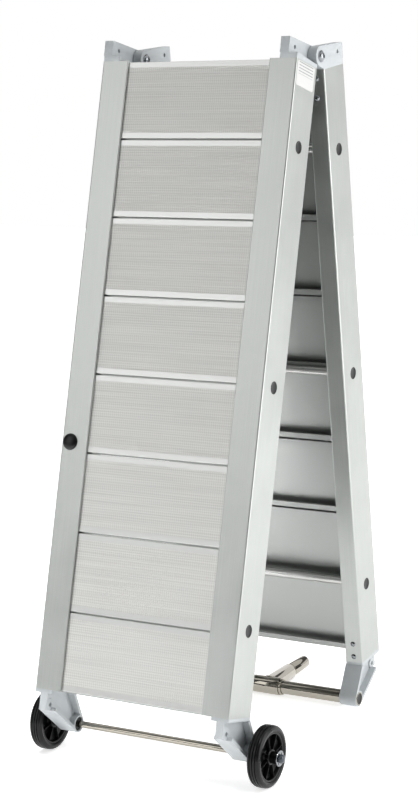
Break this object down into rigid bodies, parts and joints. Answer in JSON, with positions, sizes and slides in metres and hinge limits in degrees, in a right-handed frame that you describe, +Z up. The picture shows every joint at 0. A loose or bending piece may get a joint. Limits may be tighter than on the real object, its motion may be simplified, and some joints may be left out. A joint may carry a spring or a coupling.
{
  "type": "folding boarding gangway",
  "caption": "Folding aluminium boarding gangway with plank decks, tyred wheels at one end and a swivelling deck pin at the other, standing folded.",
  "frame": {"origin": "middle of the footprint on the floor, as it stands folded", "axes": "+X along the hinge to the right of someone facing the wheeled half, +Y from the wheeled half to the swivel half, +Z up"},
  "size_m": [0.4998, 0.6528, 1.2336],
  "materials": {
    "rails": "satin anodised",
    "deck_planks": "satin anodised, ribbed",
    "tie_tubes": "satin",
    "painted_castings": "light grey paint, semi-gloss",
    "stainless": "polished stainless",
    "fasteners": "bright",
    "black_plastic": "satin",
    "dark_caps": "gloss",
    "tyres": "matt rubber",
    "plate": "matt, blank"
  },
  "bodies": {
    "wheeled_half": {"front_rail_left": "rails", "front_rail_right": "rails", "front_plank_1": "deck_planks", "front_plank_2": "deck_planks", "front_plank_3": "deck_planks", "front_plank_4": "deck_planks", "front_plank_5": "deck_planks", "front_plank_6": "deck_planks", "front_plank_7": "deck_planks", "front_plank_8": "deck_planks", "front_tie_tubes": "tie_tubes", "front_tie_bolts": "fasteners", "front_rail_plugs": "black_plastic", "front_hinge_left": "painted_castings", "front_hinge_right": "painted_castings", "wheel_bracket_left": "painted_castings", "wheel_bracket_right": "painted_castings", "front_casting_screws": "fasteners", "wheel_axle": "stainless", "axle_bushes": "black_plastic", "axle_washers": "fasteners", "axle_caps": "dark_caps", "stanchion_socket": "tie_tubes", "stanchion_plug": "black_plastic", "maker_plate": "plate", "hinge_bolts": "fasteners", "hinge_nuts": "fasteners"},
    "left_wheel": {"tyre_left": "tyres", "rim_left": "black_plastic"},
    "right_wheel": {"tyre_right": "tyres", "rim_right": "black_plastic"},
    "swivel_half": {"rear_rail_left": "rails", "rear_rail_right": "rails", "rear_plank_1": "deck_planks", "rear_plank_2": "deck_planks", "rear_plank_3": "deck_planks", "rear_plank_4": "deck_planks", "rear_plank_5": "deck_planks", "rear_plank_6": "deck_planks", "rear_plank_7": "deck_planks", "rear_plank_8": "deck_planks", "rear_tie_tubes": "tie_tubes", "rear_tie_bolts": "fasteners", "rear_rail_plugs": "black_plastic", "rear_hinge_left": "painted_castings", "rear_hinge_right": "painted_castings", "foot_bracket_left": "painted_castings", "foot_bracket_right": "painted_castings", "rear_casting_screws": "fasteners", "cross_tube": "stainless", "tube_caps": "black_plastic", "stop_rings": "stainless"},
    "swivel": {"swivel_sleeve": "stainless", "deck_pin": "stainless"}
  },
  "joints": [
    {"name": "fold", "type": "hinge", "parent": "wheeled_half", "child": "swivel_half", "pos_m": [0, 0.06906, 1.19729], "axis": [1, 0, 0], "range_deg": [-12.4, 158.4]},
    {"name": "left_wheel_spin", "type": "hinge", "parent": "wheeled_half", "child": "left_wheel", "pos_m": [-0.2165, -0.24072, 0.053], "axis": [1, 0, 0], "continuous": true},
    {"name": "right_wheel_spin", "type": "hinge", "parent": "wheeled_half", "child": "right_wheel", "pos_m": [0.2165, -0.24072, 0.053], "axis": [1, 0, 0], "continuous": true},
    {"name": "swivel_turn", "type": "hinge", "parent": "swivel_half", "child": "swivel", "pos_m": [0, 0.17441, 0.0165], "axis": [-1, 0, 0], "range_deg": [-30, 190]}
  ]
}
